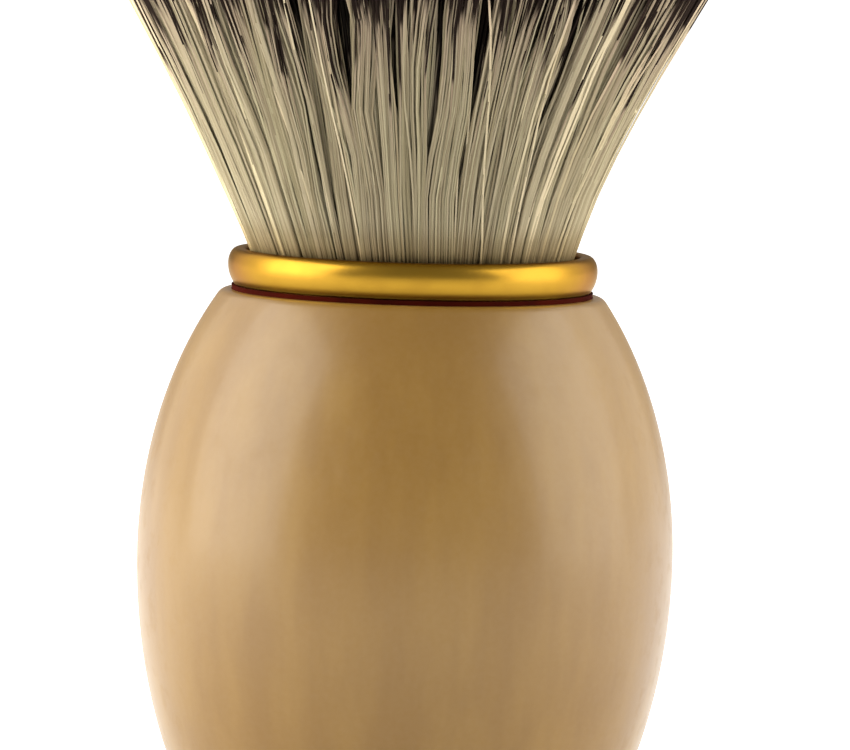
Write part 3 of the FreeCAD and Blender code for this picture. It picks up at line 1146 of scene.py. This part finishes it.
# ---------------------------------------------------------------- base and inner pieces
@dataclass
class Pad:
    """Soft disc under the foot."""

    radius: float = field(default_factory=lambda: radius_of("base_pad"))
    top: float = field(default_factory=lambda: heights("base_pad")[1])
    edge: float = 0.3
    finish: PlainFinish = PlainFinish(
        "pad_foam", (0.075, 0.055, 0.040), (0.040, 0.028, 0.020), 0.85, grain=5.0, relief=0.12
    )

    def build(self) -> None:
        """Build and dress the pad."""
        outline = Outline(0.0, 0.0)
        outline.line(self.radius - self.edge, 0.0)
        outline.curve((self.radius, 0.0), (self.radius, self.edge), steps=8)
        outline.line(self.radius, self.top)
        outline.line(0.0, self.top)
        pad = turned("base_disc", outline, self.finish.make(), around=128)
        stand_in(pad, "pad_foam", "base_pad")


@dataclass
class InnerPieces:
    """Pieces inside the handle, which keep their frame shapes."""

    finishes: Mapping[str, PlainFinish | TwistFinish] = field(
        default_factory=lambda: {
            "knot_cup": PlainFinish("cup_plastic", (0.04, 0.038, 0.035), (0.02, 0.02, 0.018)),
            "binding_cord": TwistFinish(),
            "knot_resin_plug": PlainFinish(
                "potting_resin", (0.46, 0.27, 0.08), (0.30, 0.15, 0.04), 0.15, coat=0.5
            ),
            "knot_bedding": PlainFinish(
                "adhesive", (0.74, 0.68, 0.52), (0.60, 0.52, 0.36), 0.3
            ),
            "ballast_bedding": PlainFinish(
                "ballast_adhesive", (0.74, 0.68, 0.52), (0.60, 0.52, 0.36), 0.3
            ),
            "loft_spacer": PlainFinish(
                "spacer_plastic", (0.80, 0.79, 0.75), (0.70, 0.69, 0.64), 0.45
            ),
            "ballast_weight": PlainFinish(
                "turned_steel", (0.50, 0.50, 0.51), (0.36, 0.36, 0.37), 0.32, 1.0, squash=12.0
            ),
            "base_plug": PlainFinish("plug_plastic", (0.06, 0.04, 0.025), (0.035, 0.025, 0.015)),
        }
    )

    def build(self) -> None:
        """Dress each piece."""
        for node, finish in self.finishes.items():
            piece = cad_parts[node]
            piece.data.materials.clear()
            piece.data.materials.append(finish.make())
            LOG.info("%s: %s", node, finish.name)


# ---------------------------------------------------------------- studio
WARM: Colour = (1.0, 0.965, 0.89)


@dataclass(frozen=True)
class Softbox:
    """Rectangular lamp aimed at the brush."""

    name: str
    place: tuple[float, float, float]
    aim: tuple[float, float, float]
    width: float
    height: float
    watts: float
    tint: Colour = (1.0, 1.0, 1.0)

    def build(self) -> None:
        """Hang the lamp."""
        lamp = bpy.data.lights.new(self.name, "AREA")
        lamp.shape = "RECTANGLE"
        lamp.size = self.width
        lamp.size_y = self.height
        lamp.energy = self.watts
        lamp.color = self.tint
        holder = bpy.data.objects.new(self.name, lamp)
        holder.location = self.place
        way = Vector(self.aim) - Vector(self.place)
        holder.rotation_euler = way.to_track_quat("-Z", "Y").to_euler()
        bpy.context.scene.collection.objects.link(holder)


@dataclass
class Studio:
    """Pale floor, soft lamps and the camera."""

    elevation: float = 4.9
    roll: float = -1.6
    lens: float = 250.0
    sensor: float = 36.0
    view_width: float = 0.0562
    aim: tuple[float, float, float] = (0.0010, 0.0, 0.04455)
    air: float = 0.38
    floor_glow: float = 0.92
    floor_reach: float = 8.0
    floor_drop: float = 0.02 * MM
    # Reach of the painted shadow round the brush, in millimetres.
    painted_shadow_reach: float = 130.0
    lamps: tuple[Softbox, ...] = (
        Softbox("left_box", (-0.450, -0.080, 0.22), (0, 0, 0.045), 0.48, 0.50, 4.2, WARM),
        Softbox("left_back_box", (-0.370, 0.290, 0.22), (0, 0, 0.045), 0.30, 0.50, 0.7, WARM),
        Softbox("right_box", (0.450, -0.050, 0.22), (0, 0, 0.045), 0.46, 0.46, 2.6, WARM),
        Softbox("right_back_box", (0.370, 0.290, 0.22), (0, 0, 0.045), 0.30, 0.50, 0.6, WARM),
        Softbox("top_box", (0.02, 0.22, 0.55), (0, 0, 0.07), 0.40, 0.40, 2.4),
    )

    def camera(self) -> None:
        """Set the camera up, looking along +Y and a little down."""
        data = bpy.data.cameras.new("camera")
        data.lens = self.lens
        data.sensor_width = self.sensor
        data.clip_start = 0.01
        data.clip_end = 50.0
        distance = self.view_width * self.lens / self.sensor
        tilt = math.radians(self.elevation)
        back = Vector((0.0, -math.cos(tilt), math.sin(tilt)))
        turn = (-back).to_track_quat("-Z", "Y").to_matrix()
        turn = turn @ Matrix.Rotation(math.radians(-self.roll), 3, "Z")
        camera = bpy.data.objects.new("camera", data)
        camera.matrix_world = Matrix.Translation(Vector(self.aim) + back * distance) @ turn.to_4x4()
        bpy.context.scene.collection.objects.link(camera)
        bpy.context.scene.camera = camera

    def floor(self) -> None:
        """Lay the floor just below the pad, so that no two faces lie in one plane; its glow is dimmed
        near the brush as a painted shadow.
        """
        shader = Shader("pale_floor")
        place = shader.place()
        speck = shader.noise(place, 0.02, 3.0)
        away = shader.node("ShaderNodeVectorMath", {"operation": "LENGTH"}, {0: place}, "Value")
        behind = shader.node("ShaderNodeSeparateXYZ", {}, {0: place}, "Y")
        # Painted shadow: the floor's glow is dimmed near the brush, most in front of it.
        painted_shadow_near = 0.25 + 0.15 * behind.ease(-self.painted_shadow_reach / 3, self.painted_shadow_reach)
        far = away.ease(self.painted_shadow_reach / 3, self.painted_shadow_reach)
        glow_with_painted_shadow = shader.grey(painted_shadow_near + (1.0 - painted_shadow_near) * far)
        material = shader.surface(
            Base_Color=shader.mix(speck, (0.64, 0.64, 0.64), (0.67, 0.67, 0.67)),
            Roughness=0.7,
            Emission_Color=glow_with_painted_shadow,
            Emission_Strength=self.floor_glow,
        )
        mesh = bpy.data.meshes.new("floor")
        reach = self.floor_reach
        around = ((-reach, -reach), (reach, -reach), (reach, reach), (-reach, reach))
        corners = [(x, y, -self.floor_drop) for x, y in around]
        mesh.from_pydata(corners, [], [(0, 1, 2, 3)])
        add_object("floor", mesh, material)

    def sky(self) -> None:
        """Fill the room with even light."""
        world = bpy.data.worlds.new("studio_air")
        world.use_nodes = True
        world.node_tree.nodes["Background"].inputs["Color"].default_value = (1.0, 1.0, 1.0, 1.0)
        world.node_tree.nodes["Background"].inputs["Strength"].default_value = self.air
        bpy.context.scene.world = world
        bpy.context.scene.view_settings.view_transform = "Standard"

    def build(self) -> None:
        """Set the whole studio up."""
        self.camera()
        self.sky()
        self.floor()
        for lamp in self.lamps:
            lamp.build()


def main() -> None:
    """Build the brush, then the studio round it."""
    logging.basicConfig(level=logging.INFO, format="%(name)s: %(message)s")
    Handle().build()
    Collar().build()
    Knot().build(SHELLS)
    Pad().build()
    InnerPieces().build()
    Studio().build()


if __name__ == "__main__":
    main()
